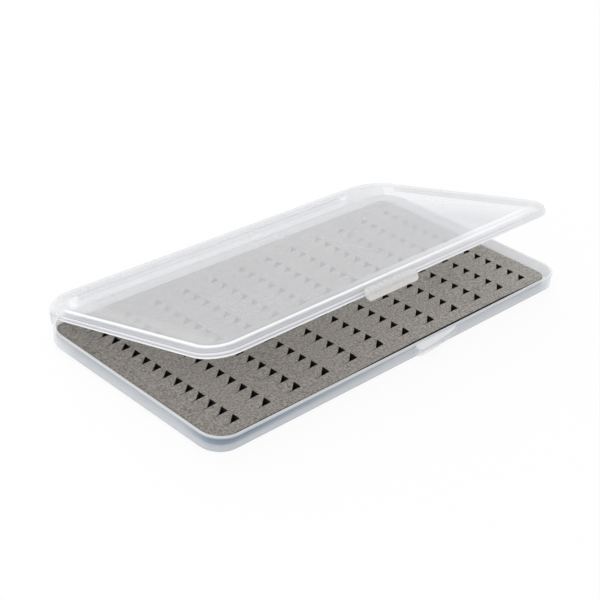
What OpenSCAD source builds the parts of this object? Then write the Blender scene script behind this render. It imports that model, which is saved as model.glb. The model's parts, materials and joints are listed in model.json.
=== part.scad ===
// Slim fly box: a shallow tray lined with slotted foam, and a frosted cover
// that swings on a living hinge along the back long edge.
// Millimetres. +X runs along the length, -Y faces the opening side, +Z is up.
// The origin is the centre of the tray's flat underside.

/* [Tray] */
// Outside length of the tray along X
tray_length = 188; // [150:1:230]
// Outside depth of the tray along Y, without the hinge flange
tray_depth = 95; // [75:1:130]
// Height of the tray from its underside to the top of its rim
tray_height = 6.2; // [5.8:0.1:9]
// Thickness of the tray's floor
tray_floor = 1.0; // [0.8:0.1:1.4]
// Thickness of the tray's wall
tray_wall = 0.8; // [0.7:0.1:1.1]
// How far the rim bead stands out from the wall
rim_bead = 0.25; // [0.15:0.05:0.4]
// Height of the rim bead
rim_bead_height = 0.8; // [0.6:0.1:1.2]
// Radius of the tray's two front corners, seen from above
tray_front_radius = 9; // [7:0.5:14]
// Radius of the tray's two back corners, seen from above
tray_back_radius = 13; // [10:0.5:16]
// Rounding of the tray's bottom edge
bottom_edge = 0.9; // [0.5:0.1:1.2]

/* [Hinge] */
// Distance from the tray's back wall to the hinge line
hinge_reach = 7.85; // [7:0.05:12]
// Height of the hinge line above the underside
hinge_height = 4.8; // [4.6:0.1:5.4]
// Radius of the thin rounded web along the hinge line
web_radius = 0.35; // [0.25:0.05:0.45]
// Thickness of the tray's flange that carries the hinge
flange_thickness = 0.8; // [0.6:0.1:1]
// Angle of the lid above its closed position, in degrees
lid_open = 15.7; // [0:0.1:180]

/* [Lid] */
// Height of the lid above the hinge line when it is closed
lid_height = 4.4; // [4.2:0.1:4.6]
// Wall thickness of the lid
lid_wall = 1.0; // [0.8:0.1:1.2]
// Gap between the closed lid and the tray's inner face at the two ends
lid_end_gap = 1.75; // [0.8:0.05:2.2]
// Gap between the closed lid and the tray's inner face at the front
lid_front_gap = 1.45; // [0.9:0.05:1.8]
// Radius of the lid's two front corners, seen from above
lid_front_radius = 10.5; // [8:0.5:14]
// Radius of the lid's two back corners, seen from above
lid_back_radius = 16; // [14:0.5:20]
// How far the lid's back corners hang below the hinge line
corner_drop = 3.5; // [1:0.1:3.8]

/* [Latch] */
// Width of the lid's latch tab along X
tab_width = 26.5; // [16:0.5:34]
// Place of the tab's middle along X, left of the box's middle
tab_middle = -12; // [-18:0.25:-9]
// Thickness of the tab's plates
tab_thickness = 1.0; // [0.8:0.1:1.3]
// How far the tab hangs below the hinge height when the lid is closed
tab_drop = 0.9; // [0.6:0.1:1.6]
// Size of the slanted corner at the tab's free lower end
tab_bevel = 1.8; // [0.5:0.1:2.4]
// Width of the finger lip that is moulded on the tray
lip_width = 25; // [16:0.5:34]
// How far the finger lip stands out from the tray's rim
lip_reach = 2.6; // [1.5:0.1:3.5]
// Gap along X between the tab and the finger lip
tab_lip_gap = 0.9; // [0.5:0.1:3]

/* [Foam] */
// Gap between the foam and the tray's inner face at the two ends
foam_end_gap = 2.95; // [1:0.05:5]
// How far the foam lies off the box's middle toward its left end
foam_shift = 0.8; // [0:0.1:1]
// Gap between the foam and the tray's inner face at the front and back
foam_side_gap = 2.15; // [1:0.05:4]
// Thickness of the foam insert
foam_thickness = 3.0; // [2:0.1:3.3]
// Corner radius of the foam insert
foam_radius = 5; // [3:0.5:10]
// Thickness of the adhesive sheet under the foam
adhesive_thickness = 0.2; // [0.1:0.05:0.3]
// Number of hook slots in a row along X
slots_along = 12; // [6:1:12]
// Number of rows of hook slots along Y
slot_rows = 14; // [7:1:14]
// Length of one slot's triangular hole along X
slot_length = 4.2; // [2:0.1:5]
// Width of one slot's triangular hole along Y
slot_width = 3.2; // [1:0.1:3.5]
// Distance from the foam's end to the middle of the first slot
slot_end_margin = 11.4; // [8:0.1:14]
// Distance from the foam's front edge to the middle of the first row
slot_front_margin = 5.6; // [5:0.1:8]
// Distance from the foam's back edge to the middle of the last row
slot_back_margin = 10.2; // [7:0.1:12]

/* [Hidden] */
$fn = 64;
arc_steps = 8;
half_length = tray_length / 2;
front_y = -tray_depth / 2;
back_y = tray_depth / 2;
hinge_y = back_y + hinge_reach;
wall_outer = -rim_bead;
wall_inner = -rim_bead - tray_wall;
base_inner = wall_inner - 1.2;
lid_half_length = half_length + wall_inner - lid_end_gap;
lid_front_y = front_y - wall_inner + lid_front_gap;
hinge_half_length = lid_half_length - lid_back_radius;
flange_half_length = hinge_half_length - 1;
flange_end_radius = 3;
web_half_length = flange_half_length - flange_end_radius;
rim_clearance = 0.3;
rear_cut_y = min(back_y - tray_back_radius + 5.5, hinge_y - lid_back_radius);
rear_cut_z = tray_height + rim_clearance;
corner_clearance = 1.2;
flange_overlap = 0.8;
web_join_y = hinge_y - 1.9;
shoulder_height = 3.2;
shoulder_inset = 1.45;
crown_inset = 4.2;
step_heights = [1.0, 1.8, 2.6];
step_inset = 0.28;
step_rise = 0.12;
tab_right = tab_middle + tab_width / 2;
tab_left = tab_right - tab_width;
tab_plate_inner = front_y - 0.6;
tab_plate_outer = tab_plate_inner - tab_thickness;
tab_axis_y = lid_front_y + 2 * step_inset - tab_thickness / 2 - 0.06;
tab_axis_z = rear_cut_z + tab_thickness / 2;
tab_hook = 0.4;
tab_round = 1.8;
tab_undercut = 3;
tab_low_z = hinge_height - tab_drop;
lip_left = tab_right + tab_lip_gap;
lip_low = 2.2;
foam_low = tray_floor + adhesive_thickness;
foam_height = min(foam_thickness, hinge_height - 0.3 - foam_low);
foam_length = 2 * (half_length + wall_inner - foam_end_gap);
foam_depth = 2 * (back_y + wall_inner - foam_side_gap);
slot_pitch_x = (foam_length - 2 * slot_end_margin) / (slots_along - 1);
slot_pitch_y = (foam_depth - slot_front_margin - slot_back_margin) / (slot_rows - 1);

// Points of a circular arc from angle a0 to a1 about (cx, cy)
function arc(cx, cy, r, a0, a1) =
    [for (k = [0:arc_steps]) let (a = a0 + (a1 - a0) * k / arc_steps)
        [cx + r * cos(a), cy + r * sin(a)]];

// Flat rounded rectangle with its own front and back corner radii
module rounded_plate(half_x, y0, y1, r_front, r_back) {
    translate([-half_x, y0 + r_front]) square([2 * half_x, y1 - y0 - r_front - r_back]);
    translate([r_front - half_x, y0]) square([2 * (half_x - r_front), r_front + 1]);
    translate([r_back - half_x, y1 - r_back - 1]) square([2 * (half_x - r_back), r_back + 1]);
    for (side = [-1, 1]) {
        translate([side * (half_x - r_front), y0 + r_front]) circle(r_front);
        translate([side * (half_x - r_back), y1 - r_back]) circle(r_back);
    }
}

// Runs of a wall: the profile's x is outward from the outline, its y is up
module side_runs(half_x, y0, y1) {
    translate([half_x, y1, 0]) rotate([90, 0, 0]) linear_extrude(y1 - y0) children();
    translate([-half_x, y0, 0]) rotate([90, 0, 180]) linear_extrude(y1 - y0) children();
}

module front_run(half_x, y0) {
    translate([half_x, y0, 0]) rotate([90, 0, -90]) linear_extrude(2 * half_x) children();
}

module back_run(half_x, y1) {
    translate([-half_x, y1, 0]) rotate([90, 0, 90]) linear_extrude(2 * half_x) children();
}

module corner_turn(centre, r, turn) {
    translate([centre.x, centre.y, 0]) rotate([0, 0, turn])
        rotate_extrude(angle = 90) translate([r, 0]) children();
}

module front_corners(half_x, y0, r) {
    corner_turn([half_x - r, y0 + r], r, 270) children();
    corner_turn([r - half_x, y0 + r], r, 180) children();
}

module back_corners(half_x, y1, r) {
    corner_turn([half_x - r, y1 - r], r, 0) children();
    corner_turn([r - half_x, y1 - r], r, 90) children();
}

// Section through the tray's wall: rounded foot, wall and rim bead
module tray_profile() {
    bead_low = tray_height - rim_bead_height;
    polygon(concat(
        [[base_inner, 0]],
        arc(wall_outer - bottom_edge, bottom_edge, bottom_edge, -90, 0),
        [[wall_outer, bead_low - rim_bead], [0, bead_low]],
        arc(-0.3, tray_height - 0.3, 0.3, 0, 90),
        arc(wall_inner + 0.3, tray_height - 0.3, 0.3, 90, 180),
        [[wall_inner, tray_floor + 0.5], [wall_inner - 0.5, tray_floor], [base_inner, tray_floor]]
    ));
}

// Section through the lid's front and end walls: a stepped skirt and a shoulder
module skirt_profile() {
    polygon(concat(
        [[0, 0]],
        [for (k = [0:len(step_heights) - 1]) each [
            [-k * step_inset, step_heights[k]],
            [-(k + 1) * step_inset, step_heights[k] + step_rise]
        ]],
        [
            [-shoulder_inset + 0.3, shoulder_height - 0.15],
            [-shoulder_inset - 0.3, shoulder_height + 0.25],
            [-crown_inset, lid_height], [-crown_inset - 1, lid_height],
            [-crown_inset - 1, lid_height - lid_wall], [-crown_inset, lid_height - lid_wall],
            [-shoulder_inset - lid_wall, shoulder_height - 0.5],
            [-2 * step_inset - lid_wall, step_heights[1]],
            [-lid_wall - 0.3, 0.3], [-lid_wall, 0]
        ]
    ));
}

// Section through the lid's back: a quarter-round roll down to a foot, and a
// straight wall below it where the foot lies under the hinge line
module roll_profile(foot) {
    inner_radius = lid_height - lid_wall;
    above = max(0, foot);
    polygon(concat(
        [[-crown_inset - 1, inner_radius]],
        arc(-lid_height, 0, inner_radius, 90, asin(above / inner_radius)),
        foot < 0 ? [[-lid_wall, foot], [0, foot]] : [],
        arc(-lid_height, 0, lid_height, asin(above / lid_height), 90),
        [[-crown_inset - 1, lid_height]]
    ));
}

// Moves the closed lid to the angle that it is shown at
module open_lid() {
    translate([0, hinge_y, hinge_height]) rotate([-lid_open, 0, 0])
        translate([0, -hinge_y, -hinge_height]) children();
}

// Finger lip: full width at the latch, sweeping back into the wall along an arc
module finger_lip() {
    chord = lip_width - 2;
    sag = lip_reach + 0.3;
    lip_radius = (chord * chord + sag * sag) / (2 * sag);
    end_angle = acos((lip_radius - sag) / lip_radius);
    root_y = front_y - wall_outer + 0.3;
    translate([lip_left, 0, lip_low]) linear_extrude(tray_height - 0.25 - lip_low)
        polygon(concat(
            [[0, root_y], [0, front_y - lip_reach + 0.6], [0.6, front_y - lip_reach]],
            [for (k = [0:12]) let (a = end_angle * k / 12)
                [2 + lip_radius * sin(a), front_y - lip_reach + lip_radius * (1 - cos(a))]],
            [[lip_width, root_y]]
        ));
}

// Flange behind the tray that carries the hinge, with rounded ends
module hinge_flange() {
    depth = web_join_y - back_y + flange_overlap;
    translate([0, 0, hinge_height - flange_thickness - 0.05]) linear_extrude(flange_thickness) {
        translate([-flange_half_length, back_y - flange_overlap])
            square([2 * flange_half_length, depth - flange_end_radius]);
        translate([-web_half_length, back_y - flange_overlap]) square([2 * web_half_length, depth]);
        for (side = [-1, 1])
            translate([side * web_half_length, web_join_y - flange_end_radius])
                circle(flange_end_radius);
    }
}

module tray() {
    color("gainsboro") union() {
        linear_extrude(tray_floor)
            rounded_plate(half_length - 2, front_y + 2, back_y - 2,
                tray_front_radius - 2, tray_back_radius - 2);
        side_runs(half_length, front_y + tray_front_radius, back_y - tray_back_radius) tray_profile();
        front_run(half_length - tray_front_radius, front_y) tray_profile();
        back_run(half_length - tray_back_radius, back_y) tray_profile();
        front_corners(half_length, front_y, tray_front_radius) tray_profile();
        back_corners(half_length, back_y, tray_back_radius) tray_profile();
        finger_lip();
        hinge_flange();
    }
}

// One hook slot's triangular hole, its middle at the origin
module hook_slot() {
    polygon([
        [slot_length / 3, -slot_width / 3],
        [slot_length / 3, slot_width * 2 / 3],
        [-slot_length * 2 / 3, -slot_width / 3]
    ]);
}

module foam_insert() {
    color("dimgray") translate([-foam_shift, 0, foam_low]) linear_extrude(foam_height) difference() {
        rounded_plate(foam_length / 2, -foam_depth / 2, foam_depth / 2, foam_radius, foam_radius);
        for (column = [0:slots_along - 1], row = [0:slot_rows - 1])
            translate([
                (column - (slots_along - 1) / 2) * slot_pitch_x + foam_shift,
                slot_front_margin - foam_depth / 2 + row * slot_pitch_y
            ]) hook_slot();
    }
}

module adhesive_sheet() {
    color("whitesmoke") translate([-foam_shift, 0, tray_floor]) linear_extrude(adhesive_thickness)
        rounded_plate(foam_length / 2 - 1, 1 - foam_depth / 2, foam_depth / 2 - 1,
            foam_radius - 1, foam_radius - 1);
}

// Thin web from the flange's edge to a rounded bead on the hinge line
module living_hinge() {
    web = 0.4;
    color("white") union() {
        translate([-web_half_length, web_join_y, hinge_height - 0.05 - web])
            cube([2 * web_half_length, hinge_y - web_join_y, web]);
        translate([-web_half_length, hinge_y, hinge_height]) rotate([0, 90, 0])
            cylinder(h = 2 * web_half_length, r = web_radius);
    }
}

// Room for one of the tray's back corners and the skirt's swing past it
module corner_room(side) {
    low_z = hinge_height - corner_drop - 1;
    translate([0, 0, low_z]) linear_extrude(rear_cut_z - low_z) intersection() {
        translate([side > 0 ? hinge_half_length : -half_length - 2, rear_cut_y])
            square([half_length - hinge_half_length + 2, hinge_y - rear_cut_y]);
        rounded_plate(half_length + corner_clearance, front_y - corner_clearance,
            back_y + corner_clearance, tray_front_radius + corner_clearance,
            tray_back_radius + corner_clearance);
    }
}

module closed_cover() {
    difference() {
        translate([0, 0, hinge_height]) {
            translate([0, 0, lid_height - lid_wall]) linear_extrude(lid_wall)
                rounded_plate(lid_half_length - crown_inset - 0.5, lid_front_y + crown_inset + 0.5,
                    hinge_y - crown_inset - 0.5, lid_front_radius - crown_inset - 0.5,
                    lid_back_radius - crown_inset - 0.5);
            side_runs(lid_half_length, lid_front_y + lid_front_radius, hinge_y - lid_back_radius)
                skirt_profile();
            front_run(lid_half_length - lid_front_radius, lid_front_y) skirt_profile();
            front_corners(lid_half_length, lid_front_y, lid_front_radius) skirt_profile();
            back_run(hinge_half_length, hinge_y) roll_profile(web_radius + 0.05);
            back_corners(lid_half_length, hinge_y, lid_back_radius) roll_profile(-corner_drop);
        }
        for (side = [-1, 1]) corner_room(side);
    }
}

module lid_cover() {
    color("ghostwhite") open_lid() closed_cover();
}

// Section through the tab: a plate over the rim, a round knuckle and a hanging plate
module tab_profile() {
    top_z = rear_cut_z + tab_thickness;
    polygon(concat(
        [[tab_axis_y, rear_cut_z], [tab_axis_y, top_z]],
        arc(tab_plate_outer + tab_round, top_z - tab_round, tab_round, 90, 180),
        [
            [tab_plate_outer, tab_low_z + 0.3], [tab_plate_outer + 0.3, tab_low_z],
            [tab_plate_inner, tab_low_z], [tab_plate_inner, rear_cut_z - 0.3],
            [tab_plate_inner + 0.3, rear_cut_z]
        ]
    ));
}

// Outline of the tab seen from the front: a slanted left end and a round right end
module tab_front_outline() {
    right_round = 1.2;
    polygon(concat(
        [[tab_left, rear_cut_z + 3], [tab_left, tab_low_z + tab_bevel],
            [tab_left + tab_bevel, tab_low_z]],
        arc(tab_right - right_round, tab_low_z + right_round, right_round, -90, 0),
        [[tab_right, rear_cut_z + 3]]
    ));
}

// Outline of the tab seen from above: its left end is cut back toward the lid
module tab_plan_outline() {
    back = tab_axis_y + tab_thickness;
    polygon([
        [tab_left + tab_undercut, back], [tab_left + tab_undercut, tab_axis_y],
        [tab_left, tab_plate_inner + 0.4], [tab_left, tab_plate_outer],
        [tab_right, tab_plate_outer], [tab_right, back]
    ]);
}

// Latch tab with its root on the lid and a small hook inside its hanging plate
module latch_tab() {
    color("white") open_lid() intersection() {
        union() {
            translate([tab_left, tab_axis_y, tab_axis_z]) rotate([0, 90, 0])
                cylinder(h = tab_width, r = tab_thickness / 2);
            translate([tab_left, 0, 0]) rotate([90, 0, 90]) linear_extrude(tab_width) tab_profile();
            translate([tab_left + 3, tab_plate_inner, tab_low_z + 0.4])
                cube([tab_width - 6, tab_hook, 1.1]);
        }
        translate([0, tab_axis_y + 2, 0]) rotate([90, 0, 0])
            linear_extrude(tab_axis_y + 4 - tab_plate_outer) tab_front_outline();
        linear_extrude(rear_cut_z + tab_thickness + 1) tab_plan_outline();
    }
}

tray();
foam_insert();
adhesive_sheet();
living_hinge();
lid_cover();
latch_tab();
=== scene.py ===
# %% [markdown]
# # A slim fly box in frosted plastic
#
# The object is a pocket box for fishing flies: a shallow tray lined with grey foam, and a thin
# milky cover on a living hinge. The measured solids come from a imported model that this script
# loads and never moves. What is left to do here is the finish: the frosted plastic, the soft
# foam with its cut slots, the thin hinge web, the light and the camera.

# %% Load the imported model
import json
import math

import bmesh
import bpy
from mathutils import Matrix, Vector, geometry, noise


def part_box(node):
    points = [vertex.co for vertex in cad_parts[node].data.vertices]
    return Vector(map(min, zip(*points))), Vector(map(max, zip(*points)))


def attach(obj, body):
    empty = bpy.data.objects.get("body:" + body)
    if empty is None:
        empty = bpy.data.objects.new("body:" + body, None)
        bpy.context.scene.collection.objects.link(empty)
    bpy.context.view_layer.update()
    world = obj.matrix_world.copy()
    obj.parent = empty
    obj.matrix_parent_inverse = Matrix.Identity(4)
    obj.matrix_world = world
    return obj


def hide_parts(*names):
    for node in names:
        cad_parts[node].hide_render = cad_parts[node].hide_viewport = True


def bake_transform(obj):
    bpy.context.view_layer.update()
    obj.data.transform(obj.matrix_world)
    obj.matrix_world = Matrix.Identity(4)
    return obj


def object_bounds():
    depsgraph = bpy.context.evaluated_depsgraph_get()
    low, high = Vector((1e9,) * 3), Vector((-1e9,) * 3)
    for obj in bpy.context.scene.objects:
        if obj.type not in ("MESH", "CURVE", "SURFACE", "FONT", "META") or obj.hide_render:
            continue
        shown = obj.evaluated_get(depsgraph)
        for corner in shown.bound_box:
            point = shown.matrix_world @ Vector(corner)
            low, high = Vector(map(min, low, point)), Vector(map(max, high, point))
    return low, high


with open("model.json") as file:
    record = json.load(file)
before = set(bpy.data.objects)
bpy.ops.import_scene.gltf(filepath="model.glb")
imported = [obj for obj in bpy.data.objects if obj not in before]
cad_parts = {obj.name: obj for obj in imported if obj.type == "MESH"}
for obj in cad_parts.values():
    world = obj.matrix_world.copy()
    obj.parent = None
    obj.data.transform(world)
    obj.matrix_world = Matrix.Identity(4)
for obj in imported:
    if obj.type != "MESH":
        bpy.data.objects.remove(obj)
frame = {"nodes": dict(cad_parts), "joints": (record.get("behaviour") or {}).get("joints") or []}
cad_low, cad_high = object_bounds()
MM = 0.001
print("nodes:", sorted(frame["nodes"]))
print("box in mm:", [round(v / MM, 1) for v in (*cad_low, *cad_high)])

# %% [markdown]
# ## Camera
#
# A catalogue photo is taken from a tripod with a long lens, so parallel edges stay nearly
# parallel. The camera is described the way a photographer would: where it looks, from which
# side, how high, how far, and how much it is rolled. Writing its axes as the columns of a
# matrix is safer than Euler angles, because the roll is then applied about the line of sight.

# %% Camera at the photograph's angle
FRAME_PIXELS = 600
SENSOR = 36.0
VIEW_AZIMUTH = math.radians(-47.88)
VIEW_ELEVATION = math.radians(29.61)
VIEW_ROLL = math.radians(5.25)
VIEW_DISTANCE = 0.50374
FOCAL_IN_PIXELS = 1303.5
AIM = Vector((-0.33, 8.23, 0.0)) * MM

toward_camera = Vector((
    math.sin(VIEW_AZIMUTH) * math.cos(VIEW_ELEVATION),
    -math.cos(VIEW_AZIMUTH) * math.cos(VIEW_ELEVATION),
    math.sin(VIEW_ELEVATION),
))
level_right = Vector((math.cos(VIEW_AZIMUTH), math.sin(VIEW_AZIMUTH), 0.0))
level_up = toward_camera.cross(level_right)
right = math.cos(VIEW_ROLL) * level_right + math.sin(VIEW_ROLL) * level_up
up = -math.sin(VIEW_ROLL) * level_right + math.cos(VIEW_ROLL) * level_up

camera_data = bpy.data.cameras.new("camera")
camera_data.sensor_width = SENSOR
camera_data.lens = SENSOR * FOCAL_IN_PIXELS / FRAME_PIXELS
camera_data.clip_start = 0.01
camera = bpy.data.objects.new("camera", camera_data)
bpy.context.scene.collection.objects.link(camera)
camera.matrix_world = Matrix.Translation(AIM + toward_camera * VIEW_DISTANCE) @ Matrix(
    (right, up, toward_camera)
).transposed().to_4x4()
bpy.context.scene.camera = camera
print("lens in mm:", round(camera_data.lens, 1))

# %% [markdown]
# ## Light and floor
#
# The box lies on white, lit by big soft sources, and hardly throws a shadow. An even white
# world gives most of the light, and two wide lamps give the plastic something to reflect. The
# floor is a real surface that takes the shadow, with part of what the camera sees of it given
# as plain white, so that the background stays white without more light on the box.

# %% Helpers for light
WORLD_LIGHT = 0.88
FLOOR_WHITE = 0.99
FLOOR_GREY = 0.9
FLOOR_SIZE = 6
FLOOR_DROP = 0.2 * MM
SHADOW_SHARE = 0.10


def node_tree(holder):
    holder.use_nodes = True
    tree = holder.node_tree
    tree.nodes.clear()
    return tree


def seen_directly(tree):
    """1 for a ray that shows its target to the camera, straight, mirrored or through glass."""
    path = tree.nodes.new("ShaderNodeLightPath")
    glossy = tree.nodes.new("ShaderNodeMath")
    glossy.operation = "MAXIMUM"
    tree.links.new(path.outputs["Is Camera Ray"], glossy.inputs[0])
    tree.links.new(path.outputs["Is Glossy Ray"], glossy.inputs[1])
    through = tree.nodes.new("ShaderNodeMath")
    through.operation = "MAXIMUM"
    tree.links.new(glossy.outputs[0], through.inputs[0])
    tree.links.new(path.outputs["Is Transmission Ray"], through.inputs[1])
    return through.outputs[0]


def lamp(name, power, size, place):
    """A square lamp that looks at the middle of the box."""
    data = bpy.data.lights.new(name, "AREA")
    data.energy = power
    data.size = size
    made = bpy.data.objects.new(name, data)
    made.location = place
    made.rotation_euler = (-Vector(place)).to_track_quat("-Z", "Y").to_euler()
    bpy.context.scene.collection.objects.link(made)


print("share of the floor that takes shadow:", SHADOW_SHARE)

# %% World and lamps
world = bpy.data.worlds.new("studio")
bpy.context.scene.world = world
tree = node_tree(world)
even = tree.nodes.new("ShaderNodeBackground")
even.inputs["Color"].default_value = (1, 1, 1, 1)
even.inputs["Strength"].default_value = WORLD_LIGHT
white = tree.nodes.new("ShaderNodeBackground")
white.inputs["Color"].default_value = (FLOOR_WHITE, FLOOR_WHITE, FLOOR_WHITE, 1)
white.inputs["Strength"].default_value = 1.0
choose = tree.nodes.new("ShaderNodeMixShader")
out = tree.nodes.new("ShaderNodeOutputWorld")
tree.links.new(seen_directly(tree), choose.inputs[0])
tree.links.new(even.outputs[0], choose.inputs[1])
tree.links.new(white.outputs[0], choose.inputs[2])
tree.links.new(choose.outputs[0], out.inputs[0])

lamp("key_from_behind", power=4.5, size=0.9, place=(0.25, 0.75, 0.85))
lamp("fill_from_left", power=2.4, size=0.7, place=(-0.8, -0.35, 0.6))
bpy.context.scene.view_settings.view_transform = "Standard"
print("world at", WORLD_LIGHT, "and two lamps")

# %% Floor
bpy.ops.mesh.primitive_plane_add(size=FLOOR_SIZE, location=(0, 0, -FLOOR_DROP))
floor = bpy.context.object
floor.name = "floor"
floor_paint = bpy.data.materials.new("floor_white")
tree = node_tree(floor_paint)
matt = tree.nodes.new("ShaderNodeBsdfDiffuse")
matt.inputs["Color"].default_value = (FLOOR_GREY, FLOOR_GREY, FLOOR_GREY, 1)
plain = tree.nodes.new("ShaderNodeEmission")
plain.inputs["Color"].default_value = (FLOOR_WHITE, FLOOR_WHITE, FLOOR_WHITE, 1)
plain.inputs["Strength"].default_value = 1.0
share = tree.nodes.new("ShaderNodeMath")
share.operation = "MULTIPLY"
share.inputs[1].default_value = 1 - SHADOW_SHARE
tree.links.new(seen_directly(tree), share.inputs[0])
blend = tree.nodes.new("ShaderNodeMixShader")
out = tree.nodes.new("ShaderNodeOutputMaterial")
tree.links.new(share.outputs[0], blend.inputs[0])
tree.links.new(matt.outputs[0], blend.inputs[1])
tree.links.new(plain.outputs[0], blend.inputs[2])
tree.links.new(blend.outputs[0], out.inputs[0])
floor.data.materials.append(floor_paint)
print("floor is", FLOOR_SIZE, "m wide")

# %% [markdown]
# ## Frosted polypropylene
#
# The box is moulded in thin polypropylene. It is milky: some light goes straight through, some
# is scattered inside, and the skin has a satin gloss. Real volume scattering in a wall one
# millimetre thick is slow and noisy to render. A principled surface with a low alpha does the
# same job: each skin lets a share of the view through and adds its own milky white. At a
# glancing angle the path through the plastic is longer, so the alpha rises with the facing
# angle. Fine noise keeps the milkiness uneven and the skin slightly wavy.
#
# Each part of the box needs its own zones: a whiter rim, a greyer band, a hazier stretch. So
# the first cell has small helpers that measure a distance on the object, and turn a stretch of
# it into a level between 0 and 1.

# %% Helpers for zones and tones


def noise_node(tree, coordinate, scale, detail, roughness=0.5):
    made = tree.nodes.new("ShaderNodeTexNoise")
    made.inputs["Scale"].default_value = scale
    made.inputs["Detail"].default_value = detail
    made.inputs["Roughness"].default_value = roughness
    tree.links.new(coordinate, made.inputs["Vector"])
    return made.outputs["Fac"]


def ranged(tree, value, low, high, from_low=0.0, from_high=1.0):
    """Level that goes from low to high while the value goes from from_low to from_high."""
    made = tree.nodes.new("ShaderNodeMapRange")
    made.inputs["From Min"].default_value = from_low
    made.inputs["From Max"].default_value = from_high
    made.inputs["To Min"].default_value = low
    made.inputs["To Max"].default_value = high
    tree.links.new(value, made.inputs["Value"])
    return made.outputs["Result"]


def zone(tree, distance, span, before, after):
    """Level that goes from before to after over a span given in millimetres."""
    start, end = span
    return ranged(tree, distance, before, after, start * MM, end * MM)


def math_node(tree, operation, first, second=0.0):
    made = tree.nodes.new("ShaderNodeMath")
    made.operation = operation
    for socket, value in zip(made.inputs, (first, second)):
        if isinstance(value, (int, float)):
            socket.default_value = value
        else:
            tree.links.new(value, socket)
    return made.outputs[0]


def product(tree, first, second):
    return math_node(tree, "MULTIPLY", first, second)


def larger(tree, first, second):
    return math_node(tree, "MAXIMUM", first, second)


def mixed(tree, fac, first, second):
    """Mix of two plain values, each a number or a socket."""
    made = tree.nodes.new("ShaderNodeMix")
    made.data_type = "FLOAT"
    for name, value in (("Factor", fac), ("A", first), ("B", second)):
        if isinstance(value, (int, float)):
            made.inputs[name].default_value = value
        else:
            tree.links.new(value, made.inputs[name])
    return made.outputs["Result"]


def two_tone(tree, fac, dark, light):
    made = tree.nodes.new("ShaderNodeMix")
    made.data_type = "RGBA"
    made.inputs["A"].default_value = (*dark, 1)
    made.inputs["B"].default_value = (*light, 1)
    tree.links.new(fac, made.inputs["Factor"])
    return made.outputs["Result"]


def ramp(tree, value, length, stops):
    """Grey value that follows given stops (place in mm, level) along a length in metres."""
    made = tree.nodes.new("ShaderNodeValToRGB")
    elements = made.color_ramp.elements
    for _ in stops[2:]:
        elements.new(0.5)
    for element, (place, level) in zip(elements, stops):
        element.position = place * MM / length
        element.color = (level, level, level, 1)
    tree.links.new(math_node(tree, "DIVIDE", value, length), made.inputs["Fac"])
    return made.outputs["Color"]


def along(tree, place, start, direction):
    """Distance of a point from start, measured along a direction."""
    from_start = tree.nodes.new("ShaderNodeVectorMath")
    from_start.operation = "SUBTRACT"
    from_start.inputs[1].default_value = start
    tree.links.new(place, from_start.inputs[0])
    made = tree.nodes.new("ShaderNodeVectorMath")
    made.operation = "DOT_PRODUCT"
    made.inputs[1].default_value = direction
    tree.links.new(from_start.outputs["Vector"], made.inputs[0])
    return made.outputs["Value"]


def bump_node(tree, height, strength, distance):
    made = tree.nodes.new("ShaderNodeBump")
    made.inputs["Strength"].default_value = strength
    made.inputs["Distance"].default_value = distance
    tree.links.new(height, made.inputs["Height"])
    return made.outputs["Normal"]


print("helpers for zones are ready")

# %% The frosted skin
CLOUD_SCALE = 38.0
CLOUD_CHANGE = (0.92, 1.08)
SMOOTHER, ROUGHER = 0.04, 0.06
GRAIN_SCALE = 900.0
GRAIN_BUMP = 0.1
GRAIN_DEPTH = 0.06 * MM
PLASTIC_IOR = 1.49
FACING_BLEND = 0.35
SHARP_ANGLE = math.radians(32)


class Plastic:
    """A frosted plastic skin: its tone, tint and see-through share can be changed by zone."""

    def __init__(self, name, roughness):
        self.material = bpy.data.materials.new(name)
        self.tree = node_tree(self.material)
        out = self.tree.nodes.new("ShaderNodeOutputMaterial")
        self.skin = self.tree.nodes.new("ShaderNodeBsdfPrincipled")
        self.tree.links.new(self.skin.outputs[0], out.inputs[0])
        self.place = self.tree.nodes.new("ShaderNodeTexCoord").outputs["Object"]
        self.clouds = noise_node(self.tree, self.place, CLOUD_SCALE, detail=3.0)
        grain = noise_node(self.tree, self.place, GRAIN_SCALE, detail=2.0)
        self.tree.links.new(ranged(self.tree, grain, roughness - SMOOTHER, roughness + ROUGHER),
                            self.skin.inputs["Roughness"])
        self.skin.inputs["IOR"].default_value = PLASTIC_IOR
        self.tree.links.new(bump_node(self.tree, grain, GRAIN_BUMP, GRAIN_DEPTH),
                            self.skin.inputs["Normal"])
        weight = self.tree.nodes.new("ShaderNodeLayerWeight")
        weight.inputs["Blend"].default_value = FACING_BLEND
        self.facing = weight.outputs["Facing"]

    def finish(self, milky, tone, dark, light):
        """Milky is the skin's own share of what is seen, tone picks between the two tints."""
        uneven = ranged(self.tree, self.clouds, *CLOUD_CHANGE)
        self.tree.links.new(product(self.tree, milky, uneven), self.skin.inputs["Alpha"])
        self.tree.links.new(two_tone(self.tree, tone, dark, light), self.skin.inputs["Base Color"])
        return self.material


def dress(node, material):
    mesh = frame["nodes"][node].data
    mesh.materials.clear()
    mesh.materials.append(material)
    mesh.polygons.foreach_set("use_smooth", [True] * len(mesh.polygons))
    mesh.set_sharp_from_angle(angle=SHARP_ANGLE)


print("frosted skin has an index of", PLASTIC_IOR)
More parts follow.
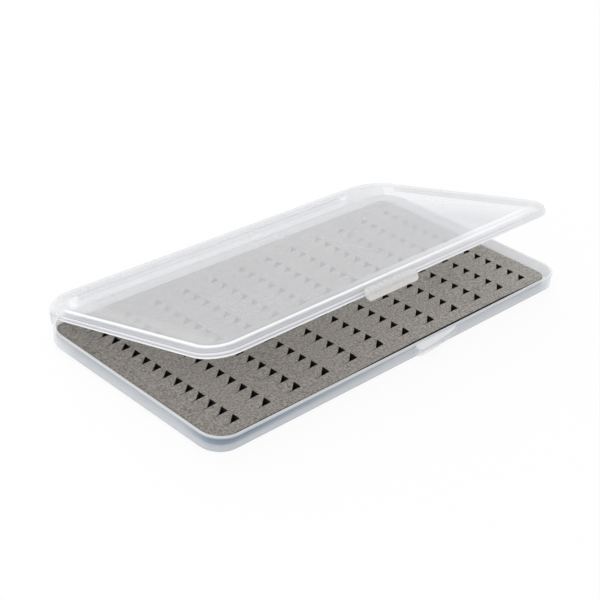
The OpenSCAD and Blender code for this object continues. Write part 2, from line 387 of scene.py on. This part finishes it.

# %% [markdown]
# ## Finish of the tray
#
# The tray is clear, and a few things show on it. Its rim catches light all the way round, and that
# highlight is painted on as a lighter, milkier tone. The foot of the wall is thick and milkier, and
# it is painted a little darker as painted shade. The back wall and the right end have light behind
# them, and are painted paler as painted light. The finger lip is nearly white at its edge. And near
# the left front corner the wall bends the dark foam behind it into view, as a blue-grey band below
# the rim. Bending real light through a thin wall is slow and noisy, so the band is painted as a zone
# of
# the skin: a ramp over the wall's height that fades along the length and toward the back.

# %% Tray: measures and zones
RIM_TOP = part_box("tray")[1].z
BAND_FADES_TO_RIGHT = (12, 100)
BAND_FADES_TO_BACK = (8, 22)
BACK_WALL = (76, 92)
RIGHT_WALL = (176, 184)
FOOT = (0.3, 1.3)
RIM_LINE = (RIM_TOP / MM - 0.55, RIM_TOP / MM - 0.25)
FINGER_LIP = (2.2, 2.7)
FINGER_LIP_EDGE = (4.6, 5.6)
BAND_STOPS = [
    (0.0, 0.5), (0.5, 0.4), (1.2, 0.1), (2.8, 0.15), (3.3, 0.9), (5.0, 1.0), (5.35, 0.75), (5.6, 0.0)]

tray_skin = Plastic("tray_frosted", roughness=0.3)
tree = tray_skin.tree
height = along(tree, tray_skin.place, (0, 0, 0), (0, 0, 1))
from_left = along(tree, tray_skin.place, (cad_low.x, 0, 0), (1, 0, 0))
from_front = along(tree, tray_skin.place, (0, cad_low.y, 0), (0, 1, 0))
near_corner = product(tree, zone(tree, from_left, BAND_FADES_TO_RIGHT, 1.0, 0.05),
                      zone(tree, from_front, BAND_FADES_TO_BACK, 1.0, 0.15))
at_back = larger(tree, zone(tree, from_front, BACK_WALL, 0.0, 1.0),
                 zone(tree, from_left, RIGHT_WALL, 0.0, 0.8))
not_at_back = ranged(tree, at_back, 1.0, 0.0)
foot = zone(tree, height, FOOT, 1.0, 0.0)
rim_line = zone(tree, height, RIM_LINE, 0.0, 1.0)
on_lip = zone(tree, from_front, FINGER_LIP, 1.0, 0.0)
shown_band = product(tree, ramp(tree, height, RIM_TOP, BAND_STOPS),
                     product(tree, near_corner, not_at_back))
print("top of the tray's rim in mm:", round(RIM_TOP / MM, 2))

# %% Tray: how milky and how light each zone is
TRAY_DARK = (0.20, 0.27, 0.35)
TRAY_LIGHT = (0.90, 0.91, 0.93)
RIM_MILKY, BAND_MILKY, FOOT_MILKY, BACK_MILKY = 0.72, 0.66, 0.62, 0.42
WALL_TONE, RIM_HIGHLIGHT_TONE, BACK_PAINTED_LIGHT_TONE, LIP_TONE = 0.72, 0.78, 0.92, 0.97
FOOT_PAINTED_SHADE, BAND_DARKER = 0.1, 0.66

wall_milky = ranged(tree, tray_skin.facing, 0.30, 0.60)
milky = mixed(tree, shown_band, mixed(tree, rim_line, wall_milky, RIM_MILKY), BAND_MILKY)
milky = mixed(tree, at_back, larger(tree, milky, product(tree, foot, FOOT_MILKY)), BACK_MILKY)
milky = mixed(tree, on_lip, milky, zone(tree, height, FINGER_LIP_EDGE, 0.35, 0.75))
# Painted highlight: the rim gets a lighter tone.
tone = mixed(tree, rim_line, WALL_TONE, RIM_HIGHLIGHT_TONE)
# Painted shade: the foot of the wall is painted a little darker.
tone = math_node(tree, "SUBTRACT", tone, product(tree, foot, FOOT_PAINTED_SHADE))
tone = math_node(tree, "SUBTRACT", tone, product(tree, shown_band, BAND_DARKER))
# Painted light: the back wall and the right end are painted paler.
tone = mixed(tree, on_lip, mixed(tree, at_back, tone, BACK_PAINTED_LIGHT_TONE), LIP_TONE)
dress("tray", tray_skin.finish(milky, tone, TRAY_DARK, TRAY_LIGHT))
print("tray is clear below its rim")

# %% [markdown]
# ## Finish of the cover
#
# The cover's skirt is stepped, and its rim slopes over into a flat top. Light bounces between
# the steps and draws fine bright and dark lines along the front and the ends. The steps are in
# the solid, but a skin with a low alpha shows them too weakly, so two ramps help: one over the
# height of the skirt, one over the distance in from the outline where the rim slopes. The
# lines grow whiter to the right. The flat top has no lines, only haze, and a little more of it
# toward the front right. The right end, and the lower edge of the rounded back, have other
# milky skins close behind them. They are kept clearer, so that together they don't turn white.

# %% Cover: directions and distances on the lid
hinge = next(j for j in frame["joints"] if j["name"] == "lid_hinge")
lid_open = math.radians(-hinge["range_deg"][0])
hinge_place = Vector(hinge["pos_m"])
lid_up = Vector((0, math.sin(lid_open), math.cos(lid_open)))
lid_front = Vector((0, -math.cos(lid_open), math.sin(lid_open)))
LID_HALF_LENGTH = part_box("lid_cover")[1].x
LID_DEPTH = 100.35 * MM
LID_FRONT_RADIUS = 10.5 * MM
LID_GLOSS = 0.35


def inside_outline(tree, side_distance, depth):
    """Distance in from the lid's outline, whose front corners are round."""
    beyond_x = math_node(tree, "ADD", side_distance, LID_FRONT_RADIUS - LID_HALF_LENGTH)
    beyond_y = math_node(tree, "ADD", depth, LID_FRONT_RADIUS - LID_DEPTH)
    clipped_x = larger(tree, beyond_x, 0.0)
    clipped_y = larger(tree, beyond_y, 0.0)
    corner = math_node(tree, "SQRT", math_node(
        tree, "ADD", product(tree, clipped_x, clipped_x), product(tree, clipped_y, clipped_y)))
    straight = math_node(tree, "MINIMUM", larger(tree, beyond_x, beyond_y), 0.0)
    return math_node(tree, "SUBTRACT", LID_FRONT_RADIUS, math_node(tree, "ADD", corner, straight))


lid_skin = Plastic("lid_frosted", roughness=0.24)
lid_skin.skin.inputs["Specular IOR Level"].default_value = LID_GLOSS
tree = lid_skin.tree
lid_height = along(tree, lid_skin.place, hinge_place, lid_up)
lid_depth = along(tree, lid_skin.place, hinge_place, lid_front)
lid_side = along(tree, lid_skin.place, (0, 0, 0), (1, 0, 0))
side_distance = math_node(tree, "ABSOLUTE", lid_side)
inset = inside_outline(tree, side_distance, lid_depth)
print("lid is", round(2 * LID_HALF_LENGTH / MM, 1), "mm long, opened by",
      round(math.degrees(lid_open), 1), "degrees")

# %% Cover: fine lines along the skirt and the sloping rim
LID_HEIGHT = 4.4 * MM
INWARD_REACH = 8 * MM
SLOPE_BEGINS = (2.85, 2.95)
GROWS_WHITER = (-35, 65)
WHITER_SHARE, WHITER_MILKY = 0.8, 0.86
SKIRT_TONE = [
    (0.0, 1.0), (0.5, 1.0), (0.7, 0.3), (0.95, 0.0), (1.15, 0.8), (1.35, 1.0), (1.7, 1.0),
    (1.85, 0.1), (2.0, 0.0), (2.15, 0.7), (2.45, 0.7), (2.7, 0.2), (2.9, 0.6)]
SKIRT_MILKY = [
    (0.0, 0.88), (0.5, 0.8), (0.7, 0.6), (0.95, 0.62), (1.15, 0.75), (1.35, 0.88), (1.7, 0.8),
    (1.85, 0.62), (2.0, 0.62), (2.15, 0.6), (2.45, 0.55), (2.7, 0.55), (2.9, 0.5)]
SLOPE_TONE = [
    (1.0, 0.6), (1.3, 0.7), (1.5, 1.0), (2.15, 1.0), (2.35, 0.6), (2.55, 0.1), (2.8, 0.5),
    (3.2, 0.82), (3.9, 0.86), (4.2, 0.7), (4.5, 0.86)]
SLOPE_MILKY = [
    (1.0, 0.5), (1.3, 0.6), (1.5, 0.88), (2.15, 0.9), (2.35, 0.6), (2.55, 0.45), (2.8, 0.38),
    (3.2, 0.34), (3.9, 0.33), (4.2, 0.36), (4.5, 0.33)]

on_slope = zone(tree, lid_height, SLOPE_BEGINS, 0.0, 1.0)
line_tone = mixed(tree, on_slope, ramp(tree, lid_height, LID_HEIGHT, SKIRT_TONE),
                  ramp(tree, inset, INWARD_REACH, SLOPE_TONE))
line_milky = mixed(tree, on_slope, ramp(tree, lid_height, LID_HEIGHT, SKIRT_MILKY),
                   ramp(tree, inset, INWARD_REACH, SLOPE_MILKY))
whiter = zone(tree, lid_side, GROWS_WHITER, 0.0, WHITER_SHARE)
line_tone = mixed(tree, whiter, line_tone, 1.0)
line_milky = mixed(tree, whiter, line_milky, WHITER_MILKY)
print("stops on skirt and slope:", len(SKIRT_TONE), len(SLOPE_TONE))

# %% Cover: where the lines are
LINES_END_INWARD = (4.5, 5.2)
LINES_BEGIN_FROM_HINGE = (17, 21)
LINES_FADE_TO_RIGHT = (68, 84)

lines = product(tree, zone(tree, inset, LINES_END_INWARD, 1.0, 0.0), product(
    tree, zone(tree, lid_depth, LINES_BEGIN_FROM_HINGE, 0.0, 1.0),
    zone(tree, lid_side, LINES_FADE_TO_RIGHT, 1.0, 0.2)))
print("lines end", LINES_END_INWARD[1], "mm in from the edge")

# %% Cover: haze on the flat top, the rounded back and the ends
ROUNDED_BACK = (1, 8)
RIGHT_END = (84, 89)
LEFT_END = (-88, -80)
BETWEEN_CORNERS = (75.3, 75.8)
LOWER_EDGE = (0.3, 0.38)
HAZE_GROWS, HAZE_FADES, HAZE_FORWARD = (5, 50), (60, 76), (30, 75)
HAZE_MILKY, HAZE_DARKER = 0.12, 0.27
FLAT_TONE, LOWER_EDGE_MILKY = 0.65, 0.08

flat_milky = ranged(tree, lid_skin.facing, 0.24, 0.46)
flat_milky = larger(tree, flat_milky, zone(tree, lid_depth, ROUNDED_BACK, 0.34, 0.0))
flat_milky = product(tree, zone(tree, lid_side, RIGHT_END, 1.0, 0.6), flat_milky)
lower_edge = product(tree, zone(tree, side_distance, BETWEEN_CORNERS, 1.0, 0.0),
                     zone(tree, lid_height, LOWER_EDGE, 1.0, 0.0))
flat_milky = mixed(tree, lower_edge, flat_milky, LOWER_EDGE_MILKY)
haze = product(tree, zone(tree, lid_depth, HAZE_FORWARD, 0.0, 1.0), product(
    tree, zone(tree, lid_side, HAZE_GROWS, 0.0, 1.0), zone(tree, lid_side, HAZE_FADES, 1.0, 0.0)))
flat_milky = math_node(tree, "ADD", flat_milky, product(tree, haze, HAZE_MILKY))
flat_tone = math_node(tree, "SUBTRACT", zone(tree, lid_side, LEFT_END, 1.0, FLAT_TONE),
                      product(tree, haze, HAZE_DARKER))
print("haze adds", HAZE_MILKY, "to the skin's own share")

# %% Cover: put lines and haze together
LID_DARK = (0.46, 0.48, 0.52)
LID_LIGHT = (0.875, 0.88, 0.90)

dress("lid_cover", lid_skin.finish(mixed(tree, lines, flat_milky, line_milky),
                                   mixed(tree, lines, flat_tone, line_tone), LID_DARK, LID_LIGHT))
print("cover is hazy and its skirt has fine lines")

# %% [markdown]
# ## Finish of the tab and the hinge
#
# The tab is a short plate of the same plastic. Its rounded top faces the light and would be
# far brighter than its front. It gets a darker tint there, so that the tab reads as one even
# plate. The hinge is plastic that has been bent, and bending whitens it.

# %% Tab and hinge plastic
TAB_TOP_TINT = (0.67, 0.67, 0.67)
TAB_FRONT_TINT = (0.84, 0.83, 0.815)
TAB_ROUNDING = (0.6, 1.8)
HINGE_DARK = (0.88, 0.89, 0.9)
HINGE_LIGHT = (0.95, 0.95, 0.95)

tab_skin = Plastic("tab_frosted", roughness=0.26)
tab_milky = ranged(tab_skin.tree, tab_skin.facing, 0.42, 0.72)
tab_height = along(tab_skin.tree, tab_skin.place, hinge_place, lid_up)
tab_tone = zone(tab_skin.tree, tab_height, TAB_ROUNDING, 1.0, 0.0)
dress("latch_tab", tab_skin.finish(tab_milky, tab_tone, TAB_TOP_TINT, TAB_FRONT_TINT))
web_skin = Plastic("hinge_whitened", roughness=0.38)
web_milky = ranged(web_skin.tree, web_skin.facing, 0.6, 0.85)
hinge_plastic = web_skin.finish(web_milky, web_skin.clouds, HINGE_DARK, HINGE_LIGHT)
dress("living_hinge", hinge_plastic)
print("plastic on tab and hinge")

# %% [markdown]
# ## The hinge web
#
# The lid turns on a strip of plastic thinned to a third of a millimetre. The imported model has a
# stiff bead on the hinge line in its place. The strip is drawn as a closed sheet that leaves the
# tray's flange, passes behind the hinge line and ends under the lid's rounded back. It has no
# parent.

# %% Section of the web
WEB_THICKNESS = 0.34 * MM
WEB_STEPS = 120
WEB_PATH = (
    (-2.15, -0.28), (-1.6, -0.27), (-1.0, -0.25), (-0.5, -0.24), (-0.1, -0.18),
    (0.12, 0.0), (0.14, 0.2), (0.05, 0.38), (-0.1, 0.55))
web_low, web_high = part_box("living_hinge")
web_path = [Vector((hinge_place.y + y * MM, hinge_place.z + z * MM)) for y, z in WEB_PATH]


def web_section():
    """Closed loop of points: the path thickened to both sides."""
    upper, lower = [], []
    for k, here in enumerate(web_path):
        step = web_path[min(k + 1, len(web_path) - 1)] - web_path[max(k - 1, 0)]
        step.normalize()
        side = Vector((-step.y, step.x)) * WEB_THICKNESS / 2
        upper.append(here + side)
        lower.append(here - side)
    return upper + lower[::-1]


section = web_section()
print("points round the web's section:", len(section))

# %% Web between the tray and the lid
WEB_SHARP_ANGLE = math.radians(60)

strip = bmesh.new()
web_rings = []
for k in range(WEB_STEPS + 1):
    x = web_low.x + (web_high.x - web_low.x) * k / WEB_STEPS
    web_rings.append([strip.verts.new((x, p.x, p.y)) for p in section])
for first, second in zip(web_rings, web_rings[1:]):
    for k in range(len(section)):
        n = (k + 1) % len(section)
        strip.faces.new((first[k], first[n], second[n], second[k]))
strip.faces.new(web_rings[0][::-1])
strip.faces.new(web_rings[-1])
bmesh.ops.recalc_face_normals(strip, faces=strip.faces)
web_mesh = bpy.data.meshes.new("hinge_web")
strip.to_mesh(web_mesh)
strip.free()
web_mesh.polygons.foreach_set("use_smooth", [True] * len(web_mesh.polygons))
web_mesh.set_sharp_from_angle(angle=WEB_SHARP_ANGLE)
web_mesh.materials.append(hinge_plastic)
hinge_web = bpy.data.objects.new("hinge_web", web_mesh)
bpy.context.scene.collection.objects.link(hinge_web)
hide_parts("living_hinge")
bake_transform(hinge_web)
print("web:", round((web_high.x - web_low.x) / MM, 1), "mm long,", WEB_THICKNESS / MM, "mm thick")

# %% [markdown]
# ## The black film under the foam
#
# Seen through a slot, the bottom is nearly black, because hardly any light reaches it. So the
# film that holds the foam down is painted nearly black, as painted shade. It is a flat sheet, so
# its solid is kept and only gets a matt dark finish with a little unevenness from the adhesive.

# %% Film
# The film's near-black is painted shade for the dark at the bottom of the slots.
FILM_SHADE_DARK = (0.008, 0.008, 0.009)
FILM_SHADE_LIGHT = (0.02, 0.02, 0.021)
FILM_PATCH_SCALE = 400.0
FILM_ROUGHNESS = (0.7, 0.9)
FILM_GLOSS = 0.2
FILM_BUMP = 0.3
FILM_DEPTH = 0.1 * MM

film = bpy.data.materials.new("film_painted_shade")
tree = node_tree(film)
out = tree.nodes.new("ShaderNodeOutputMaterial")
skin = tree.nodes.new("ShaderNodeBsdfPrincipled")
tree.links.new(skin.outputs[0], out.inputs[0])
place = tree.nodes.new("ShaderNodeTexCoord").outputs["Object"]
patches = noise_node(tree, place, FILM_PATCH_SCALE, detail=3.0)
tree.links.new(two_tone(tree, patches, FILM_SHADE_DARK, FILM_SHADE_LIGHT), skin.inputs["Base Color"])
tree.links.new(ranged(tree, patches, *FILM_ROUGHNESS), skin.inputs["Roughness"])
skin.inputs["Specular IOR Level"].default_value = FILM_GLOSS
tree.links.new(bump_node(tree, patches, FILM_BUMP, FILM_DEPTH), skin.inputs["Normal"])
dress("adhesive_sheet", film)
print("film is dark and matt")

# %% [markdown]
# ## Slotted foam
#
# The liner is one sheet of closed-cell foam. A die has cut a small triangle and a slit behind
# it for every hook: the slit grips the hook's bend, the triangle lets the point through. The
# sheet could be a plain slab with the holes painted on, but from the side the holes would have
# no depth. Here the top is triangulated around every slot, the lips are rolled in slightly the
# way soft foam closes at a cut, and the walls go down to the film.

# %% The slot's outline
SLOTS_ALONG = 12
SLOT_ROWS = 14
SLOT_LEFT_MARGIN = 12.2 * MM
SLOT_RIGHT_MARGIN = 10.6 * MM
SLOT_FRONT_MARGIN = 5.6 * MM
SLOT_BACK_MARGIN = 10.2 * MM
HOLE_LENGTH = 4.2 * MM
HOLE_WIDTH = 3.2 * MM
SLIT_LENGTH = 2.6 * MM
SLIT_WIDTH = 0.08 * MM
LIP_WIDTH = 0.14 * MM
LIP_DEPTH = 0.16 * MM


def slot_outline():
    """Anticlockwise loop round one triangle and its slit, about the triangle's middle."""
    front = -HOLE_WIDTH / 3
    back = HOLE_WIDTH * 2 / 3
    right_x = HOLE_LENGTH / 3
    apex_x = -HOLE_LENGTH * 2 / 3
    slope = HOLE_WIDTH / HOLE_LENGTH
    slit_top = front + SLIT_WIDTH
    mouth_x = apex_x + SLIT_WIDTH / slope
    return [
        Vector((right_x, front)),
        Vector((right_x, front + (back - front) * 0.5)),
        Vector((right_x, back)),
        Vector(((right_x + mouth_x) / 2, (back + slit_top) / 2)),
        Vector((mouth_x, slit_top)),
        Vector((apex_x - SLIT_LENGTH * 0.5, slit_top - SLIT_WIDTH * 0.2)),
        Vector((apex_x - SLIT_LENGTH, front + SLIT_WIDTH * 0.5)),
        Vector((apex_x - SLIT_LENGTH * 0.5, front + SLIT_WIDTH * 0.2)),
        Vector((apex_x, front)),
        Vector(((apex_x + right_x) / 2, front)),
    ]


def grown(loop, distance):
    """The loop with every corner moved outward by the same distance."""
    made = []
    for before, here, after in zip(loop[-1:] + loop[:-1], loop, loop[1:] + loop[:1]):
        first = (here - before).normalized()
        second = (after - here).normalized()
        normal = Vector((first.y, -first.x)) + Vector((second.y, -second.x))
        if normal.length < 0.3:
            normal = first - second
        normal.normalize()
        cosine = max(0.5, normal.dot(Vector((first.y, -first.x))))
        made.append(here + normal * distance / cosine)
    return made


inner_loop = slot_outline()
outer_loop = grown(inner_loop, LIP_WIDTH)
print("points round one slot:", len(inner_loop))

# %% The sheet's outline and the places of the slots
FOAM_RADIUS = 5.0 * MM
EDGE_ROLL = 0.25 * MM
GRID_STEP = 4.2 * MM
CORNER_STEPS = 8

foam_low, foam_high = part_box("foam_insert")
half_x = (foam_high.x - foam_low.x) / 2
half_y = (foam_high.y - foam_low.y) / 2
foam_middle = (foam_high.x + foam_low.x) / 2
pitch_x = (2 * half_x - SLOT_LEFT_MARGIN - SLOT_RIGHT_MARGIN) / (SLOTS_ALONG - 1)
pitch_y = (2 * half_y - SLOT_FRONT_MARGIN - SLOT_BACK_MARGIN) / (SLOT_ROWS - 1)


def slot_middle(column, row):
    return Vector((-half_x + SLOT_LEFT_MARGIN + column * pitch_x,
                   -half_y + SLOT_FRONT_MARGIN + row * pitch_y))


def nearest_row(point):
    return round((point.y + half_y - SLOT_FRONT_MARGIN) / pitch_y)


def nearest_column(point):
    return round((point.x + half_x - SLOT_LEFT_MARGIN) / pitch_x)


def rounded_outline(half_x, half_y, radius, steps):
    made = []
    for quarter, (sx, sy) in enumerate(((1, -1), (1, 1), (-1, 1), (-1, -1))):
        for k in range(steps + 1):
            angle = math.radians(-90 + 90 * quarter + 90 * k / steps)
            made.append(Vector((
                sx * (half_x - radius) + radius * math.cos(angle),
                sy * (half_y - radius) + radius * math.sin(angle),
            )))
    return made


def divided(loop, step):
    made = []
    for a, b in zip(loop, loop[1:] + loop[:1]):
        count = max(1, round((b - a).length / step))
        made += [a.lerp(b, k / count) for k in range(count)]
    return made


slot_middles = [slot_middle(column, row) for column in range(SLOTS_ALONG) for row in range(SLOT_ROWS)]
edge_loop = divided(
    rounded_outline(half_x - EDGE_ROLL, half_y - EDGE_ROLL, FOAM_RADIUS - EDGE_ROLL, CORNER_STEPS),
    GRID_STEP)
print("slots:", len(slot_middles), "pitch in mm:", round(pitch_x / MM, 2), round(pitch_y / MM, 2))

# %% Points on the top: the edge, the slots and a grid between them
GRID_MARGIN = 3 * MM
GRID_SQUEEZE = 0.67
CLEAR_LEFT = 7.2 * MM
CLEAR_RIGHT = 2.4 * MM
CLEAR_ASIDE = 2.5 * MM
SAME_POINT = 1e-7

flat_points = list(edge_loop)
flat_edges = [(k, (k + 1) % len(edge_loop)) for k in range(len(edge_loop))]
for middle in slot_middles:
    start = len(flat_points)
    flat_points += [middle + p for p in outer_loop]
    flat_edges += [(start + k, start + (k + 1) % len(outer_loop)) for k in range(len(outer_loop))]


def near_slot(point):
    away = point - slot_middle(nearest_column(point), nearest_row(point))
    return -CLEAR_LEFT < away.x < CLEAR_RIGHT and abs(away.y) < CLEAR_ASIDE


grid_x = int(2 * half_x / GRID_STEP)
grid_y = int(2 * half_y / (GRID_STEP * GRID_SQUEEZE))
for i in range(1, grid_x):
    for j in range(1, grid_y):
        point = Vector((-half_x + 2 * half_x * i / grid_x, -half_y + 2 * half_y * j / grid_y))
        inside = abs(point.x) < half_x - GRID_MARGIN and abs(point.y) < half_y - GRID_MARGIN
        if inside and not near_slot(point):
            flat_points.append(point)
points, _, faces, _, _, _ = geometry.delaunay_2d_cdt(flat_points, flat_edges, [], 0, SAME_POINT)
print("flat points:", len(points), "triangles:", len(faces))

# %% Keep the triangles that are foam
THINNEST = 1e-10
REACH_MARGIN = 3 * MM


def in_loop(point, loop):
    crossings = False
    for a, b in zip(loop, loop[1:] + loop[:1]):
        if (a.y > point.y) != (b.y > point.y):
            if point.x < (b.x - a.x) * (point.y - a.y) / (b.y - a.y) + a.x:
                crossings = not crossings
    return crossings


def in_any_slot(point):
    reach = pitch_x / 2 + REACH_MARGIN
    row = nearest_row(point)
    for column in range(SLOTS_ALONG):
        for r in (row - 1, row, row + 1):
            middle = slot_middle(column, r)
            if 0 <= r < SLOT_ROWS and abs(point.x - middle.x) < reach:
                if in_loop(point - middle, outer_loop):
                    return True
    return False


kept = []
for face in faces:
    a, b, c = (points[k] for k in face)
    middle = (a + b + c) / 3
    splinter = abs((b - a).cross(c - a)) < THINNEST
    if not splinter and in_loop(middle, edge_loop) and not in_any_slot(middle):
        kept.append(face)
print("triangles kept:", len(kept))

# %% Top, bottom, outer edge and slot walls
ROLL_MIDDLE_OUT, ROLL_MIDDLE_DOWN = 0.7, 0.3
BOTTOM_ROLL = 0.5
LIP_MIDDLE_DOWN = 0.25

top_z = foam_high.z
bottom_z = foam_low.z
sheet = bmesh.new()
top = [sheet.verts.new((p.x, p.y, top_z)) for p in points]
bottom = [sheet.verts.new((p.x, p.y, bottom_z)) for p in points]
for face in kept:
    sheet.faces.new([top[k] for k in face])
    sheet.faces.new([bottom[k] for k in reversed(face)])


def ring(loop, z):
    return [sheet.verts.new((p.x, p.y, z)) for p in loop]


def wall(upper, lower):
    for k in range(len(upper)):
        n = (k + 1) % len(upper)
        sheet.faces.new((upper[k], lower[k], lower[n], upper[n]))


side_loop = grown(edge_loop, EDGE_ROLL)
edge_count = len(edge_loop)
edge_rings = [
    top[:edge_count],
    ring(grown(edge_loop, EDGE_ROLL * ROLL_MIDDLE_OUT), top_z - EDGE_ROLL * ROLL_MIDDLE_DOWN),
    ring(side_loop, top_z - EDGE_ROLL),
    ring(side_loop, bottom_z + EDGE_ROLL * BOTTOM_ROLL),
    bottom[:edge_count],
]
for upper, lower in zip(edge_rings, edge_rings[1:]):
    wall(upper, lower)
for index, middle in enumerate(slot_middles):
    start = edge_count + index * len(outer_loop)
    inner = [middle + p for p in inner_loop]
    half_way = [middle + a.lerp(b, 0.5) for a, b in zip(inner_loop, outer_loop)]
    rings = [
        top[start:start + len(outer_loop)],
        ring(half_way, top_z - LIP_DEPTH * LIP_MIDDLE_DOWN),
        ring(inner, top_z - LIP_DEPTH),
        ring(inner, bottom_z + LIP_DEPTH),
        bottom[start:start + len(outer_loop)],
    ]
    for upper, lower in zip(rings, rings[1:]):
        wall(lower, upper)
loose = [v for v in sheet.verts if not v.link_faces]
bmesh.ops.delete(sheet, geom=loose, context="VERTS")
bmesh.ops.recalc_face_normals(sheet, faces=sheet.faces)
open_edges = sum(1 for e in sheet.edges if not e.is_manifold)
print("foam vertices:", len(sheet.verts), "open edges:", open_edges)

# %% [markdown]
# ## Let the sheet settle
#
# A soft sheet stuck down by hand is never quite flat. This one swells a little in the middle
# and toward its front, its rows bow back by less than a millimetre, its front edge is drawn in
# beside the finger lip, and its skin has a faint wave. A cloth simulation would be hard to
# steer to such small amounts, so each point is moved by a formula: the swell and the bow fade
# out toward the edges.

# %% Swell, bow and wave
ROW_BOW = 0.75 * MM
SWELL = 1.6 * MM
SKIN_WAVE = 0.05 * MM
WAVE_SCALE = 45.0
WAVE_SINK = 0.6
WAVY_DOWN_TO = 1.5 * LIP_DEPTH
DRAWN_IN = 0.6 * MM
EDGE_FADE = 6 * MM
DRAWN_FROM, DRAWN_FULLY = -30 * MM, 10 * MM
DRAWN_UNTIL, DRAWN_FADE = 80 * MM, 20 * MM


def clamped(value):
    return min(1.0, max(0.0, value))


for v in sheet.verts:
    across = max(0.0, 1 - (v.co.x / half_x) ** 2)
    forward = clamped((half_y - v.co.y) / (2 * half_y))
    from_edge = clamped((half_y - abs(v.co.y)) / EDGE_FADE)
    from_end = clamped((half_x - abs(v.co.x)) / EDGE_FADE)
    at_front = clamped((-half_y + EDGE_FADE - v.co.y) / EDGE_FADE)
    beside_lip = clamped((v.co.x - DRAWN_FROM) / (DRAWN_FULLY - DRAWN_FROM)) * clamped(
        (DRAWN_UNTIL - v.co.x) / DRAWN_FADE)
    up_share = (v.co.z - bottom_z) / (top_z - bottom_z)
    v.co.y += ROW_BOW * across * forward * from_edge + DRAWN_IN * at_front * beside_lip
    v.co.z += SWELL * across * forward * from_edge * from_end * up_share
    if v.co.z > top_z - WAVY_DOWN_TO:
        v.co.z += SKIN_WAVE * (noise.noise(v.co * WAVE_SCALE) - WAVE_SINK)
print("highest point of the foam in mm:", round(max(v.co.z for v in sheet.verts) / MM, 2))

# %% Foam sheet as an object
foam_mesh = bpy.data.meshes.new("foam_sheet")
sheet.to_mesh(foam_mesh)
sheet.free()
foam_mesh.transform(Matrix.Translation((foam_middle, 0, 0)))
foam_sheet = bpy.data.objects.new("foam_sheet", foam_mesh)
bpy.context.scene.collection.objects.link(foam_sheet)
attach(foam_sheet, "base")
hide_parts("foam_insert")
print("foam rides on the base")

# %% [markdown]
# ## Foam finish
#
# Sawn foam is matt, and its cells show as a fine speckle of light and dark dots, finer than a
# millimetre. Random patches vary its tone, and its right half is painted a little lighter than its
# left as painted light. The cut walls face sideways and get far less light, so they are painted
# darker as painted shade; the front outer edge stays dark too, as the painted shadow in the gap to
# the rim. The surface normal tells the top skin from the walls, and no picture is needed.

# %% Foam: speckle and patches
SPECKLE_DARK = (0.115, 0.106, 0.096)
SPECKLE_LIGHT = (0.445, 0.417, 0.381)
LEFT_SHADE = (0.88, 0.875, 0.87)
RIGHT_SHADE = (1.20, 1.205, 1.22)
PAINTED_LIGHT_TO_RIGHT = (-45, 40)
CELL_SCALE = 1300.0
CELL_CONTRAST = (0.3, 0.7)
PATCH_SCALE = 30.0
PATCH_SHARE, PAINTED_LIGHT_SHARE = 0.3, 0.85

foam_grey = bpy.data.materials.new("foam_grey")
tree = node_tree(foam_grey)
out = tree.nodes.new("ShaderNodeOutputMaterial")
skin = tree.nodes.new("ShaderNodeBsdfPrincipled")
tree.links.new(skin.outputs[0], out.inputs[0])
place = tree.nodes.new("ShaderNodeTexCoord").outputs["Object"]
cells = noise_node(tree, place, CELL_SCALE, detail=4.0, roughness=0.7)
patches = noise_node(tree, place, PATCH_SCALE, detail=2.0)
speckle = two_tone(tree, ranged(tree, cells, 0.0, 1.0, *CELL_CONTRAST), SPECKLE_DARK, SPECKLE_LIGHT)
# The tint grows lighter to the right as painted light; the patches add random tone.
from_middle = along(tree, place, (0, 0, 0), (1, 0, 0))
lighter = math_node(tree, "ADD", product(tree, patches, PATCH_SHARE),
                    zone(tree, from_middle, PAINTED_LIGHT_TO_RIGHT, 0.0, PAINTED_LIGHT_SHARE))
shade = tree.nodes.new("ShaderNodeMix")
shade.data_type = "RGBA"
shade.blend_type = "MULTIPLY"
shade.inputs["Factor"].default_value = 1.0
tree.links.new(speckle, shade.inputs["A"])
tree.links.new(two_tone(tree, lighter, LEFT_SHADE, RIGHT_SHADE), shade.inputs["B"])
print("foam cells are about", round(1000 / CELL_SCALE, 1), "mm apart")

# %% Foam: dark walls in the slots, and the skin
# Painted shade: the walls are painted near black, and the front outer edge keeps that dark as the
# painted shadow in the gap to the rim.
SLOT_WALL_SHADE = (0.012, 0.0115, 0.011)
FACING_UP = (0.25, 0.75)
OUTER_EDGE_FROM, OUTER_EDGE_TO = 2 * MM, 1 * MM
FOAM_ROUGHNESS = (0.85, 1.0)
FOAM_GLOSS = 0.15
CELL_BUMP = 0.35
CELL_DEPTH = 0.2 * MM

split = tree.nodes.new("ShaderNodeSeparateXYZ")
tree.links.new(tree.nodes.new("ShaderNodeNewGeometry").outputs["Normal"], split.inputs[0])
faces_up = ranged(tree, split.outputs["Z"], 0.0, 1.0, *FACING_UP)
out_x = math_node(tree, "ABSOLUTE", along(tree, place, (foam_middle, 0, 0), (1, 0, 0)))
out_y = along(tree, place, (0, 0, 0), (0, 1, 0))
outer_edge = larger(
    tree, ranged(tree, out_x, 0.0, 1.0, half_x - OUTER_EDGE_FROM, half_x - OUTER_EDGE_TO),
    ranged(tree, out_y, 0.0, 1.0, half_y - OUTER_EDGE_FROM, half_y - OUTER_EDGE_TO))
both = tree.nodes.new("ShaderNodeMix")
both.data_type = "RGBA"
both.inputs["A"].default_value = (*SLOT_WALL_SHADE, 1)
tree.links.new(larger(tree, faces_up, outer_edge), both.inputs["Factor"])
tree.links.new(shade.outputs["Result"], both.inputs["B"])
tree.links.new(both.outputs["Result"], skin.inputs["Base Color"])
tree.links.new(ranged(tree, cells, *FOAM_ROUGHNESS), skin.inputs["Roughness"])
skin.inputs["Specular IOR Level"].default_value = FOAM_GLOSS
tree.links.new(bump_node(tree, cells, CELL_BUMP, CELL_DEPTH), skin.inputs["Normal"])
foam_mesh.materials.append(foam_grey)
print("foam is speckled grey")
